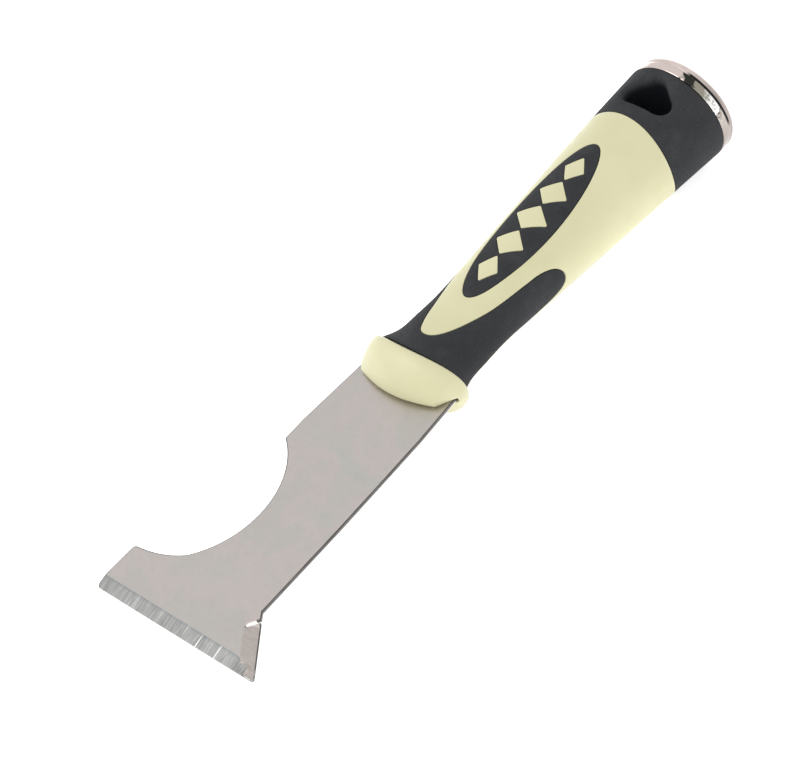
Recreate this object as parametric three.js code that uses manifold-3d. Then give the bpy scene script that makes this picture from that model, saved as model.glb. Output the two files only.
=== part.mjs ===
// Painter's multi tool: a stainless steel blade with a full tang, a moulded cream
// handle core with charcoal soft grips and inlays, and a plated steel hammer cap.
//
// Millimetres. +X points to the scraping edge, +Y to the sharpened point, +Z out of
// the front face. A station is a distance back from the scraping edge. The pieces are
// drawn round the handle's axis, in the plane of the blade. The finished tool then
// moves so that the origin is under the middle of its length and width, level with
// its lowest point.
import * as THREE from 'three';
import { mergeVertices } from 'three/addons/utils/BufferGeometryUtils.js';
import Module from 'manifold-3d';

const wasm = await Module();
wasm.setup();

const degrees = (value) => (value * Math.PI) / 180;

// ---- driving dimensions -------------------------------------------------------
const overallLength = 216;
const buttHalfWidth = 16.6;
const buttHalfHeight = 15.8;
const buttOffset = 0.5;           // the handle curves a little towards +Y at the butt
const swingStart = 165;           // station where that curve begins
const gap = 0.3;                  // between neighbouring pieces
const sides = 36;                 // facets round the handle

const bladeThickness = 1.3;
const bevelWidth = 3.75;          // ground bevel along the scraping edge
const bevelDrop = 0.95;
const flankWidth = 4.5;           // ground flank of the point
const flankDrop = 0.6;

const headCorner = -27;           // y of the square corner of the head
const flareStart = [17.1, 19.7];  // (station, y) where the shank turns out to the point
const pointTip = [1.3, 32.3];
const slotTip = [11.2, 18.8];     // nail slot
const slotMouth = [[13.5, 22.5], [15.1, 21.2]];
const rollerCentre = [39.2, -31.8];
const rollerRadius = 27.9;
const rollerEndY = -11.6;         // where the cut-out curves into the head
const shoulderY = -16.3;          // corner between the roller cut-out and the shank
const shankEnd = 96;              // station where the shank narrows to the tang
const shankTurn = 70;             // station where the lower edge of the shank turns to the cut-out
const upperShankProfile = [[17.1, 19.7], [48, 18.9], [80, 17.5], [shankEnd, 16.1]];
const lowerShankProfile = [[shankTurn, -16.5], [shankEnd, -15.6]];

const tangStart = 101;
const tangHalfWidth = 7.5;
const forkHalfWidth = 12.1;       // the tang forks round the hang hole
const forkStart = 170;
const forkFull = 186;
const forkEnd = 206.5;
const tabHalfWidth = 9;           // tab of the tang inside the cap's spigot
const tangEnd = 211.5;

const collarNose = 87.5;          // station of the middle of the front lip
const collarArc = 35;             // radius of the front lip, seen from above
const collarSetback = 2.5;        // the lip on the back starts this much further back
const collarRear = 101;
const lipCorner = 14.2;           // y where the lip turns back along the blade's edge
const gripEnd = 207.5;            // the cap starts a gap behind the rear grip
const capBand = 2.6;              // upright band of the cap, then a rounded shoulder
const capShoulder = 2.3;
const spigotRadius = 12.9;
const spigotEnd = 212.4;

const skin = 1.9;                 // thickness of the soft grips
const inlayDepth = 1.3;
const inlay = { centre: 149.1, y: 0.25, halfLength: 28.6, halfWidth: 7.75 };
const recessStart = 116;          // stretch of the handle that holds the inlays
const recessEnd = 182;
const lozengePitch = 9.4;         // row of lozenge windows in each inlay
const lozengeHalfWidths = [2.9, 4.3, 4.9, 4.3, 2.9];
const lozengeSpace = 0.9;
const lozengeCorner = 0.4;

const hangHole = { base: 194.9, tip: 204.9, y: 1.2, halfWidth: 7.4, corner: 3.4 };
const linerWall = 1.2;            // the rear grip lines the hang hole

// Half-width and half-height of the handle by station.
const handleProfile = [
  [96, 17.3, 12.5], [104, 13.2, 8.6], [112, 12.9, 7.7], [120, 12.7, 8.0],
  [131, 12.5, 10.1], [148, 13.2, 12.0], [175, 15.0, 13.8], [gripEnd, buttHalfWidth, buttHalfHeight],
];

// Half-width and half-height of the collar by station, before its outline is cut.
const collarProfile = [
  [84, 16.0, 1.8], [87.5, 16.0, 3.2], [91, 15.8, 6.0],
  [95, 16.9, 8.8], [98.5, 16.9, 10.0], [102.5, 13.0, 8.5],
];
const collarBulge = [[94.6, 16.0], [97.2, 18.3], [99.8, 16.2]];  // side of the collar, seen from above
const collarPower = 2.2;          // squareness of the collar's section

// Rear edge of the front grip over a quarter turn: [degrees from the middle of a face, station].
const tongueEdge = [
  [0, 104.6], [13, 105.8], [23, 109.8], [34, 115.8], [42, 120], [50, 126],
  [56, 132], [62, 138], [70, 142], [80, 143.7], [90, 144.2],
];
const tongueShift = degrees(2);   // the tongues sit a little towards -Y

// Stations of the other seams at the sides of the handle and at the middle of each face.
const collarSeamAt = { side: 100.4, face: 97.2 };
const windowSeamAt = { side: 187.4, front: 189.7, back: 191.5 };

// ---- helpers ------------------------------------------------------------------
const atStation = (station) => overallLength / 2 - station;

// How far the handle's middle has curved towards +Y at a station.
function swing(station) {
  const share = Math.max((station - swingStart) / (gripEnd - swingStart), 0);
  return buttOffset * Math.min(share, 1) ** 2;
}

// Closed solid from corner points and triangles, turned outward if they run inward.
function solidFrom(positions, index) {
  const build = (triangles) => new wasm.Manifold(new wasm.Mesh({
    numProp: 3,
    vertProperties: new Float32Array(positions),
    triVerts: new Uint32Array(triangles),
  }));
  const solid = build(index);
  return solid.volume() > 0 ? solid : build([...index].reverse());
}

function fromGeometry(geometry) {
  geometry.deleteAttribute('normal');
  geometry.deleteAttribute('uv');
  const merged = mergeVertices(geometry, 1e-4);
  return solidFrom(merged.attributes.position.array, merged.index.array);
}

// Smooth value between the rows of a table whose first column is the position.
function blend(table, position, column) {
  const last = table.length - 1;
  const slope = (row) => {
    const low = table[Math.max(row - 1, 0)];
    const high = table[Math.min(row + 1, last)];
    return (high[column] - low[column]) / (high[0] - low[0]);
  };
  let row = 0;
  while (row < last - 1 && position > table[row + 1][0]) {
    row += 1;
  }
  const [start, end] = [table[row], table[row + 1]];
  const span = end[0] - start[0];
  const t = Math.min(Math.max((position - start[0]) / span, 0), 1);
  const rise = t * t * (3 - 2 * t);
  return start[column] * (1 - rise) + end[column] * rise
    + t * (1 - t) * (1 - t) * span * slope(row)
    - t * t * (1 - t) * span * slope(row + 1);
}

// Triangles between rings of points that all have the same count.
function wallIndex(ringCount, count, closedLoop) {
  const index = [];
  const corner = (ring, k) => (ring % ringCount) * count + (k % count);
  const walls = closedLoop ? ringCount : ringCount - 1;
  for (let ring = 0; ring < walls; ring += 1) {
    for (let k = 0; k < count; k += 1) {
      index.push(corner(ring, k), corner(ring, k + 1), corner(ring + 1, k + 1));
      index.push(corner(ring, k), corner(ring + 1, k + 1), corner(ring + 1, k));
    }
  }
  return index;
}

// Solid through rings of points, closed by a fan at each end.
function loft(rings) {
  const count = rings[0].length;
  const positions = rings.flat(2);
  const index = wallIndex(rings.length, count, false);
  [rings[0], rings[rings.length - 1]].forEach((ring, end) => {
    const centre = positions.length / 3;
    const first = end * (rings.length - 1) * count;
    [0, 1, 2].forEach((axis) => {
      positions.push(ring.reduce((sum, point) => sum + point[axis], 0) / count);
    });
    for (let k = 0; k < count; k += 1) {
      const pair = [first + k, first + ((k + 1) % count)];
      index.push(centre, ...(end === 0 ? pair.reverse() : pair));
    }
  });
  return solidFrom(positions, index);
}

// Upright prism over an outline drawn as (station, y).
function prism(shape, low = -40, high = 40, curveSegments = 8) {
  const geometry = new THREE.ExtrudeGeometry(shape, {
    depth: high - low, bevelEnabled: false, curveSegments,
  });
  geometry.translate(-overallLength / 2, 0, -high);
  geometry.rotateY(Math.PI);
  return fromGeometry(geometry);
}

// Outline with an equal round at each corner, from the rounds' centres, counterclockwise.
function roundedOutline(centres, radius) {
  const shape = new THREE.Shape();
  const outward = (from, to) => Math.atan2(to[1] - from[1], to[0] - from[0]) - Math.PI / 2;
  centres.forEach((centre, k) => {
    const before = centres[(k + centres.length - 1) % centres.length];
    const after = centres[(k + 1) % centres.length];
    shape.absarc(...centre, radius, outward(before, centre), outward(centre, after), false);
  });
  shape.closePath();
  return shape;
}

// ---- the blade ----------------------------------------------------------------
// One edge of the tang as (station, y), from the shank to the tab; sign is the side of the axis.
function tangEdge(sign, margin) {
  const corners = [
    [tangStart, tangHalfWidth], [forkStart, tangHalfWidth],
    [forkFull, forkHalfWidth], [forkEnd, forkHalfWidth],
    [forkEnd + 0.5, tabHalfWidth], [tangEnd, tabHalfWidth],
  ];
  return corners.map(([station, half]) => [station, swing(station) + sign * (half + margin)]);
}

// The shank's edges, y by station.
const upperShank = (station) => blend(upperShankProfile, station, 1);
const lowerShank = (station) => blend(lowerShankProfile, station, 1);

function bladeOutline() {
  const shape = new THREE.Shape();
  const line = (points) => points.forEach((point) => shape.lineTo(...point));
  const rollerX = (y, side) => rollerCentre[0]
    + side * Math.sqrt(rollerRadius ** 2 - (y - rollerCentre[1]) ** 2);
  const rollerAngle = (x, y) => Math.atan2(y - rollerCentre[1], x - rollerCentre[0]);
  // scraping edge and point
  shape.moveTo(0, headCorner + 1.8);
  shape.lineTo(0, 31.4);
  shape.quadraticCurveTo(0, 33.4, ...pointTip);
  // nail slot and shank
  line([slotMouth[0], slotTip, slotMouth[1], flareStart]);
  line([48, 80, shankEnd].map((station) => [station, upperShank(station)]));
  // tang
  line(tangEdge(1, 0));
  line(tangEdge(-1, 0).reverse());
  // shank and roller cut-out
  line([shankEnd, shankTurn].map((station) => [station, lowerShank(station)]));
  line([[rollerX(shoulderY, 1), shoulderY]]);
  shape.absarc(...rollerCentre, rollerRadius,
    rollerAngle(rollerX(shoulderY, 1), shoulderY),
    rollerAngle(rollerX(rollerEndY, -1), rollerEndY), false);
  shape.quadraticCurveTo(15.8, -17.0, 14.9, headCorner + 1.0);
  // square side of the head
  shape.quadraticCurveTo(14.8, headCorner, 13.6, headCorner);
  shape.lineTo(2.4, headCorner);
  shape.quadraticCurveTo(0.2, headCorner, 0, headCorner + 1.8);
  return shape;
}

function bladeSolid() {
  const half = bladeThickness / 2;
  const bevelSlope = bevelDrop / bevelWidth;
  const flankSlope = flankDrop / flankWidth;
  const reach = 8;
  const bevelRing = (y) => [
    [atStation(bevelWidth), y, half],
    [atStation(-reach), y, half - bevelSlope * (bevelWidth + reach)],
    [atStation(-reach), y, half + reach],
  ];
  // the flank slopes down from a line parallel to the flared edge
  const along = new THREE.Vector2(pointTip[0] - flareStart[0], pointTip[1] - flareStart[1]).normalize();
  const across = new THREE.Vector2(slotMouth[0][0] - slotTip[0], slotMouth[0][1] - slotTip[1]).normalize();
  const flankRing = (distance) => {
    const inner = new THREE.Vector2(...slotTip).addScaledVector(along, distance);
    const outer = inner.clone().addScaledVector(across, reach);
    return [
      [atStation(inner.x), inner.y, half],
      [atStation(outer.x), outer.y, half - flankSlope * reach],
      [atStation(outer.x), outer.y, half + reach],
    ];
  };
  return prism(bladeOutline(), -half, half, 10)
    .subtract(loft([bevelRing(-50), bevelRing(50)]))
    .subtract(loft([flankRing(0), flankRing(30)]))
    .subtract(prism(holeOutline(2 * linerWall + 2 * gap - 0.2)));
}

// Room that the core leaves for the tang and for the end of the shank.
function tangPocket() {
  const half = bladeThickness / 2 + gap;
  const start = collarNose - 5;
  const side = (sign, shank) => [
    [start, shank(start) + sign * gap], [shankEnd + gap, shank(shankEnd) + sign * gap],
    ...tangEdge(sign, gap).slice(0, -1),
    [spigotEnd + 1, swing(spigotEnd) + sign * (tabHalfWidth + gap)],
  ];
  const points = [...side(-1, lowerShank), ...side(1, upperShank).reverse()];
  const shape = new THREE.Shape(points.map((point) => new THREE.Vector2(...point)));
  return prism(shape, -half, half).subtract(prism(holeOutline(2 * linerWall + gap - 0.2)));
}

// ---- the handle ---------------------------------------------------------------
// Point on the handle: angle 0 is the middle of the front face, a quarter turn is +Y.
function handlePoint(station, angle, inset) {
  const halfWidth = blend(handleProfile, station, 1) - inset;
  const halfHeight = blend(handleProfile, station, 2) - inset;
  return [atStation(station), swing(station) + halfWidth * Math.sin(angle), halfHeight * Math.cos(angle)];
}

// The handle's outer form, or the same form drawn in by an inset.
function handleForm(inset, start = collarRear - 3, end = gripEnd) {
  const step = 4.5;
  const count = Math.ceil((end - start) / step);
  const rings = [];
  for (let k = 0; k <= count; k += 1) {
    const station = start + ((end - start) * k) / count;
    rings.push(Array.from({ length: sides }, (_, j) =>
      handlePoint(station, (2 * Math.PI * j) / sides, inset)));
  }
  return loft(rings);
}

// Outline of the collar seen from above, with its lip's middle at the nose station.
function collarOutline(nose) {
  const lipAngle = Math.asin(lipCorner / collarArc);
  const outline = new THREE.Shape();
  outline.absarc(nose + collarArc, 0, collarArc, Math.PI - lipAngle, Math.PI + lipAngle, false);
  const [bulgeStart, bulge, bulgeEnd] = collarBulge;
  const rearCorner = [collarRear + 2, 12.8];
  outline.lineTo(bulgeStart[0], -bulgeStart[1]);
  outline.quadraticCurveTo(bulge[0], -bulge[1], bulgeEnd[0], -bulgeEnd[1]);
  outline.lineTo(rearCorner[0], -rearCorner[1]);
  outline.lineTo(...rearCorner);
  outline.lineTo(...bulgeEnd);
  outline.quadraticCurveTo(...bulge, ...bulgeStart);
  outline.closePath();
  return outline;
}

// Cream collar: a squarish form that slopes down to a curved lip on the blade.
function collarForm() {
  const squared = (value) => Math.sign(value) * Math.abs(value) ** (2 / collarPower);
  const rings = [];
  const rows = 10;
  const first = collarProfile[0][0];
  const last = collarProfile[collarProfile.length - 1][0];
  for (let row = 0; row <= rows; row += 1) {
    const station = first + ((last - first) * row) / rows;
    const halfWidth = blend(collarProfile, station, 1);
    const halfHeight = blend(collarProfile, station, 2);
    rings.push(Array.from({ length: sides }, (_, j) => {
      const angle = (2 * Math.PI * j) / sides;
      const y = halfWidth * squared(Math.sin(angle));
      return [atStation(station), y, halfHeight * squared(Math.cos(angle))];
    }));
  }
  const step = -0.3;                // the front outline reaches down to here, inside the blade's pocket
  const limits = prism(collarOutline(collarNose), step, 40)
    .add(prism(collarOutline(collarNose + collarSetback), -40, step + 0.1));
  return loft(rings).intersect(limits);
}

// Edges of the soft grips as (angle, station) for a whole turn round the handle from 0 to 1.
function collarSeam(turn) {
  const angle = 2 * Math.PI * turn;
  const { side, face } = collarSeamAt;
  return [angle, face + (side - face) * Math.sin(angle) ** 2];
}

function windowSeam(turn) {
  const angle = 2 * Math.PI * turn;
  const face = Math.cos(angle) > 0 ? windowSeamAt.front : windowSeamAt.back;
  return [angle, windowSeamAt.side + (face - windowSeamAt.side) * Math.cos(angle) ** 2];
}

function buttSeam(turn) {
  return [2 * Math.PI * turn, gripEnd];
}

// The tongue's quarter-turn edge, mirrored on round the handle.
function tongueSeam(turn) {
  const arcScale = 12;
  const curve = new THREE.SplineCurve(tongueEdge.map(([angle, station]) =>
    new THREE.Vector2(degrees(angle) * arcScale, station)));
  const quarter = Math.floor(turn * 4) % 4;
  const within = turn * 4 - Math.floor(turn * 4);
  const forward = quarter % 2 === 0;
  const point = curve.getPointAt(forward ? within : 1 - within);
  const halfTurns = [0, Math.PI, Math.PI, 2 * Math.PI][quarter];
  const angle = halfTurns + (forward ? point.x : -point.x) / arcScale;
  return [angle - tongueShift * Math.cos(angle), point.y];
}

// Thick ring between two seams, from outside the handle to below the soft skin.
function sleeve(frontSeam, rearSeam, rows, margin) {
  const above = -4;
  const below = skin + 2.5;
  const rings = [];
  const addRing = (share, inset) => {
    rings.push(Array.from({ length: sides }, (_, j) => {
      const [frontAngle, frontStation] = frontSeam(j / sides);
      const [rearAngle, rearStation] = rearSeam(j / sides);
      const start = frontStation - margin;
      const end = rearStation + margin;
      const angle = frontAngle + (rearAngle - frontAngle) * share;
      return handlePoint(start + (end - start) * share, angle, inset);
    }));
  };
  for (let row = 0; row <= rows; row += 1) {
    addRing(row / rows, above);
  }
  for (let row = rows; row >= 0; row -= 1) {
    addRing(row / rows, below);
  }
  return solidFrom(rings.flat(2), wallIndex(rings.length, sides, true));
}

const frontSleeve = (margin) => sleeve(collarSeam, tongueSeam, 7, margin);
const rearSleeve = (margin) => sleeve(windowSeam, buttSeam, 4, margin);

// Hang hole outline, grown by a margin.
function holeOutline(margin) {
  const { base, tip, y, halfWidth, corner } = hangHole;
  return roundedOutline([
    [tip - corner, y], [base + corner, y + halfWidth - corner], [base + corner, y + corner - halfWidth],
  ], corner + margin);
}

// Prism over the oval inlay on one face; the side is 1 for the front and -1 for the back.
function inlayPrism(side, margin) {
  const outline = new THREE.Shape();
  outline.absellipse(inlay.centre, inlay.y, inlay.halfLength + margin, inlay.halfWidth + margin,
    0, 2 * Math.PI, false);
  return side > 0 ? prism(outline, 0, 40, 14) : prism(outline, -40, 0, 14);
}

// The row of lozenges in an inlay, as one solid per side.
function lozenges(side, margin) {
  const halfPitch = lozengePitch / 2;
  const middle = (lozengeHalfWidths.length - 1) / 2;
  const prisms = lozengeHalfWidths.map((halfWidth, k) => {
    const x = inlay.centre + (k - middle) * lozengePitch;
    const long = halfPitch - lozengeSpace;
    const outline = roundedOutline([
      [x + long, inlay.y], [x, inlay.y + halfWidth], [x - long, inlay.y], [x, inlay.y - halfWidth],
    ], lozengeCorner + margin);
    return side > 0 ? prism(outline, 0, 40, 3) : prism(outline, -40, 0, 3);
  });
  return wasm.Manifold.union(prisms);
}

function inlaySolid(side) {
  return handleForm(0, recessStart + 1, recessEnd - 1)
    .subtract(handleForm(inlayDepth, recessStart, recessEnd))
    .intersect(inlayPrism(side, 0))
    .subtract(lozenges(side, gap));
}

function frontGripSolid() {
  return handleForm(0).intersect(frontSleeve(0)).subtract(handleForm(skin));
}

function rearGripSolid() {
  const liner = prism(holeOutline(linerWall), -30, 30, 6).intersect(handleForm(1));
  return handleForm(0)
    .intersect(rearSleeve(0))
    .subtract(handleForm(skin))
    .add(liner)
    .subtract(prism(holeOutline(0), -40, 40, 6));
}

function coreSolid() {
  const spigotStart = gripEnd - 2;
  const spigot = new THREE.CylinderGeometry(spigotRadius, spigotRadius, spigotEnd - spigotStart, sides);
  spigot.rotateZ(Math.PI / 2);
  spigot.scale(1, buttHalfWidth / buttHalfHeight, 1);
  spigot.translate(atStation((spigotEnd + spigotStart) / 2), buttOffset, 0);
  const body = handleForm(0).add(collarForm())
    .subtract(frontSleeve(gap))
    .subtract(rearSleeve(gap))
    .add(handleForm(skin + gap));
  const recess = (side) => handleForm(-3, recessStart, recessEnd)
    .subtract(handleForm(inlayDepth + gap, recessStart - 1, recessEnd + 1))
    .intersect(inlayPrism(side, gap))
    .subtract(lozenges(side, 0));
  return body
    .subtract(recess(1))
    .subtract(recess(-1))
    .add(fromGeometry(spigot))
    .subtract(prism(holeOutline(linerWall + gap), -40, 40, 6))
    .subtract(tangPocket());
}

// ---- the cap ------------------------------------------------------------------
function capSolid() {
  const height = overallLength - gripEnd - gap;
  const cupRadius = spigotRadius + gap;
  const cupDepth = spigotEnd - gripEnd;
  const turn = degrees(70);         // the shoulder runs on into a shallow dome
  const domeRadius = buttHalfHeight - capShoulder * (1 - Math.cos(turn));
  const domeStart = capBand + capShoulder * Math.sin(turn);
  const control = domeRadius - (height - domeStart) * Math.tan(turn);
  const profile = new THREE.Path();
  profile.moveTo(cupRadius, 0);
  profile.lineTo(buttHalfHeight, 0);
  profile.lineTo(buttHalfHeight, capBand);
  profile.absarc(buttHalfHeight - capShoulder, capBand, capShoulder, 0, turn, false);
  profile.quadraticCurveTo(control, height, 0, height);
  const points = [...profile.getPoints(5), new THREE.Vector2(0, cupDepth),
    new THREE.Vector2(cupRadius, cupDepth), new THREE.Vector2(cupRadius, 0)];
  const geometry = new THREE.LatheGeometry(points, 40);
  geometry.rotateZ(Math.PI / 2);
  geometry.scale(1, buttHalfWidth / buttHalfHeight, 1);
  geometry.translate(atStation(gripEnd + gap), buttOffset, 0);
  return fromGeometry(geometry);
}

// ---- assembly -----------------------------------------------------------------
const materials = {
  steel: { color: 0xbab5b0, roughness: 0.35, metalness: 1.0 },
  cream: { color: 0xdfdcb4, roughness: 0.5, metalness: 0.0 },
  charcoal: { color: 0x424347, roughness: 0.75, metalness: 0.0 },
  plated: { color: 0xd8ccc4, roughness: 0.15, metalness: 1.0 },
};

const tool = new THREE.Group();

function addPiece(name, solid, material) {
  const mesh = solid.getMesh();
  const geometry = new THREE.BufferGeometry();
  geometry.setAttribute('position', new THREE.BufferAttribute(mesh.vertProperties, 3));
  geometry.setIndex(new THREE.BufferAttribute(mesh.triVerts, 1));
  geometry.computeVertexNormals();
  const piece = new THREE.Mesh(geometry, new THREE.MeshStandardMaterial(materials[material]));
  piece.name = name;
  tool.add(piece);
}

addPiece('blade', bladeSolid(), 'steel');
addPiece('handle_core', coreSolid(), 'cream');
addPiece('front_grip', frontGripSolid(), 'charcoal');
addPiece('rear_grip', rearGripSolid(), 'charcoal');
addPiece('front_inlay', inlaySolid(1), 'charcoal');
addPiece('back_inlay', inlaySolid(-1), 'charcoal');
addPiece('hammer_cap', capSolid(), 'plated');

const bounds = new THREE.Box3().setFromObject(tool);
tool.position.set(0, -(bounds.min.y + bounds.max.y) / 2, -bounds.min.z);

const assembly = new THREE.Group();
assembly.add(tool);

export default assembly;
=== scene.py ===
"""Looks for the painter's multi tool: smooth pieces, procedural materials, floor, light and camera."""
import math

import bmesh
import bpy
import numpy as np
from mathutils import Euler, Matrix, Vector
from mathutils.geometry import delaunay_2d_cdt


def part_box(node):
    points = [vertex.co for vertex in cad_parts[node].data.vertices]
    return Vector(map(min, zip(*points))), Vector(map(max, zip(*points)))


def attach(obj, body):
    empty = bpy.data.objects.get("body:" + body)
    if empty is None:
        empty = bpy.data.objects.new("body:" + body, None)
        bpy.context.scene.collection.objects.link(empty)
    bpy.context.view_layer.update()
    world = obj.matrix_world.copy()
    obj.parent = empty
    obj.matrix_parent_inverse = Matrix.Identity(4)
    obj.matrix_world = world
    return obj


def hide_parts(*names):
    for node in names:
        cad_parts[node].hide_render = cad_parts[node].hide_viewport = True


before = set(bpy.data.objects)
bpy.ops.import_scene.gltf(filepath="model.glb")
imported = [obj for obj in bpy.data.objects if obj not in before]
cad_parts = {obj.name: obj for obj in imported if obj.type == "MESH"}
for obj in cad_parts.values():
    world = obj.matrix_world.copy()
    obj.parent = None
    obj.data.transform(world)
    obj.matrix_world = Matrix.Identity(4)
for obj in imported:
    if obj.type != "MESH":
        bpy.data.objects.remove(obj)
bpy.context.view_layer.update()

# ---- driving dimensions, in millimetres ----
# A station is a distance back from the scraping edge. y and z are measured from the
# handle's axis, which lies in the plane of the blade.
MM = 0.001
COLUMNS = 288                     # vertices round the handle
SEAM_GAP = 0.05                   # half the gap between neighbouring pieces
SEAM_ROLL = 0.28                  # radius of the rolled edges at a seam
SEAM_DEPTH = 1.4

BLADE_THICKNESS = 1.3
CHAMFER = 0.28                    # width of the eased edge on the faces
CHAMFER_DROP = 0.1
BEVEL_WIDTH = 3.75
BEVEL_DROP = 0.95
BEVEL_TURN = (22.5, 31.5)         # y between which the bevel narrows towards the point
BEVEL_NARROWING = 0.8
FLANK_WIDTH = 4.5
FLANK_DROP = 0.6
HEAD_CORNER = -27.0
FLARE_START = (17.1, 19.7)
POINT_TIP = (1.3, 32.3)
SLOT_TIP = (11.2, 18.8)
SLOT_MOUTH = ((14.3, 21.9), (15.1, 21.2))
ROLLER_CENTRE = (39.2, -31.8)
ROLLER_RADIUS = 27.9
ROLLER_END_Y = -11.6
SHOULDER_Y = -16.3
SHANK_END = 96.0
TANG_HALF_WIDTH = 7.5
TANG_END = 190.0

BUTT = 207.5
BUTT_HALF_WIDTH = 16.6
BUTT_HALF_HEIGHT = 15.8
BUTT_OFFSET = 0.5                 # the handle curves a little towards +Y at the butt
SWING_START = 165.0

# Half-width and half-height of the handle by station.
HANDLE_PROFILE = [
    (96, 16.6, 12.2), (104, 13.5, 8.8), (112, 13.1, 7.8), (120, 12.7, 8.0),
    (131, 12.5, 10.1), (148, 13.2, 12.0), (175, 15.0, 13.8), (BUTT, BUTT_HALF_WIDTH, BUTT_HALF_HEIGHT),
]
COLLAR_NOSE = 87.5
COLLAR_ARC = 35.0
COLLAR_CORNER = 13.7              # y where the lip turns back along the blade's edge
COLLAR_SLOT = (95.7, 16.35)
COLLAR_REAR_HALF = (16.9, 11.5)   # half-width and half-height at the rear edge
COLLAR_FACE = 97.2                # station of the seam behind it, at the faces and at the sides
COLLAR_SIDE = 100.4
COLLAR_ROLL = 1.2
LIP_UNDERCUT = 1.6                # the lip's nose overhangs the blade by this much
LIP_HEIGHT = 1.5
BACK_SETBACK = 4.0                # the lip on the back starts this much further back
BACK_LIP_SHARE = 0.4              # height of the lip on the back as a share of the front's
COLLAR_CROWN = 1.7                # how steeply the collar's faces rise from the lip
LIP_BULGE = 0.9                   # how far the sides swell near the lip and near the rear edge
REAR_BULGE = 0.5
FAR_SIDE_BULGE = 0.25             # the side away from the point swells by this share

# Rear edge of the front grip: (degrees from the middle of a face, station).
TONGUE_EDGE = [
    (0, 104.6), (11, 105.6), (22, 109.4), (34, 115.8), (44, 121.4), (52, 127),
    (57, 132), (62, 138), (70, 142), (80, 143.9), (90, 144.4),
]
TONGUE_SHIFT = math.radians(2)    # the tongues sit a little towards -Y
WINDOW_SIDE = 187.4               # station of the rear grip's edge at the sides
WINDOW_RISE = {"front": 2.3, "back": 4.1}

INLAY_CENTRE = 149.1
INLAY_HALF_LENGTH = 28.6
INLAY_HALF_WIDTH = 7.75
INLAY_Y = 0.25
LOZENGE_PITCH = 9.4
LOZENGE_HALF_WIDTHS = (2.9, 4.3, 4.9, 4.3, 2.9)
LOZENGE_GAP = 0.9
LOZENGE_CORNER = 0.4
LOZENGE_ROLL = 0.15
INLAY_ROLL = 0.22

HOLE_BASE = 194.9
HOLE_TIP = 204.9
HOLE_HALF_WIDTH = 7.4
HOLE_CORNER = 3.4
HOLE_Y = 1.2
HOLE_FILLET = 2.2
HOLE_LAP = 0.4                    # each wall of the hole runs this far past the middle

CAP_BAND = 2.5
CAP_SHOULDER = 2.4
CAP_SHOULDER_TURN = math.radians(70)
CAP_END = 216.0
CAP_SEAM = 0.12                   # gap between the rear grip and the cap
CAP_EDGE = 0.3                    # radius of the band's rear edge
CAP_WALL = 3.0
GROOVE_DEPTH = 0.2
SHADE_END = 213.4                 # station where the shoulder's painted shade has faded out
SHADE_FADE = 0.9

# Blocks of the skin that are opened for the inlay and for the hole: first and last row of the
# band, and columns on each side of the face's middle.
INLAY_ROWS = (4, 44)
INLAY_COLUMNS = int(COLUMNS * 0.155)
HOLE_ROWS = (2, 35)
HOLE_COLUMNS = int(COLUMNS * 0.135)

# ---- where the frame puts things ----
blade_low, blade_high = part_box("blade")
butt_low, butt_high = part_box("hammer_cap")
front_x = blade_high.x
axis_y = (butt_low.y + butt_high.y) / 2 - BUTT_OFFSET * MM
axis_z = (butt_low.z + butt_high.z) / 2


def place(station, y, z):
    return Vector((front_x - station * MM, axis_y + y * MM, axis_z + z * MM))


# ---- curves ----
def blend(table, position, column):
    """Smooth value between the rows of a table whose first column is the position."""
    last = len(table) - 1
    row = 0
    while row < last - 1 and position > table[row + 1][0]:
        row += 1

    def slope(k):
        low, high = table[max(k - 1, 0)], table[min(k + 1, last)]
        return (high[column] - low[column]) / (high[0] - low[0])

    start, end = table[row], table[row + 1]
    span = end[0] - start[0]
    t = min(max((position - start[0]) / span, 0), 1)
    rise = t * t * (3 - 2 * t)
    return (start[column] * (1 - rise) + end[column] * rise
            + t * (1 - t) ** 2 * span * slope(row) - t * t * (1 - t) * span * slope(row + 1))


def arc(centre, radius, start, end, count):
    return [(centre[0] + radius * math.cos(start + (end - start) * k / count),
             centre[1] + radius * math.sin(start + (end - start) * k / count))
            for k in range(count + 1)]


def curve(start, control, end, count):
    """Points of a quadratic curve, both ends included."""
    points = []
    for k in range(count + 1):
        t = k / count
        points.append(tuple((1 - t) ** 2 * a + 2 * t * (1 - t) * b + t * t * c
                            for a, b, c in zip(start, control, end)))
    return points


def half_width(station):
    return blend(HANDLE_PROFILE, station, 1)


def half_height(station):
    return blend(HANDLE_PROFILE, station, 2)


def swing(station):
    """How far the handle's middle has curved towards +Y at a station."""
    share = min(max((station - SWING_START) / (BUTT - SWING_START), 0), 1)
    return BUTT_OFFSET * share ** 2


def skin_point(station, angle, inset=0.0):
    """Point of the handle's surface; angle 0 is the middle of the front face."""
    return place(station, swing(station) + (half_width(station) - inset) * math.sin(angle),
                 (half_height(station) - inset) * math.cos(angle))


def face_point(station, y, depth, side):
    """Point at a depth below the front (side 1) or back (side -1) face."""
    share = min(abs(y - swing(station)) / half_width(station), 0.999)
    height = half_height(station) * math.sqrt(1 - share * share)
    return place(station, y, side * (height - depth))


def full_turn(quarter):
    """(angle, station) all round the handle from a quarter turn, by mirroring."""
    quarter = [(math.radians(turn), station) for turn, station in quarter]
    half = quarter + [(math.pi - turn, station) for turn, station in quarter[-2::-1]]
    return half + [(2 * math.pi - turn, station) for turn, station in half[-2:0:-1]]


def collar_seam():
    angle = 2 * math.pi * np.arange(COLUMNS) / COLUMNS
    return np.stack([angle, COLLAR_FACE + (COLLAR_SIDE - COLLAR_FACE) * np.sin(angle) ** 2], axis=1)


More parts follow.
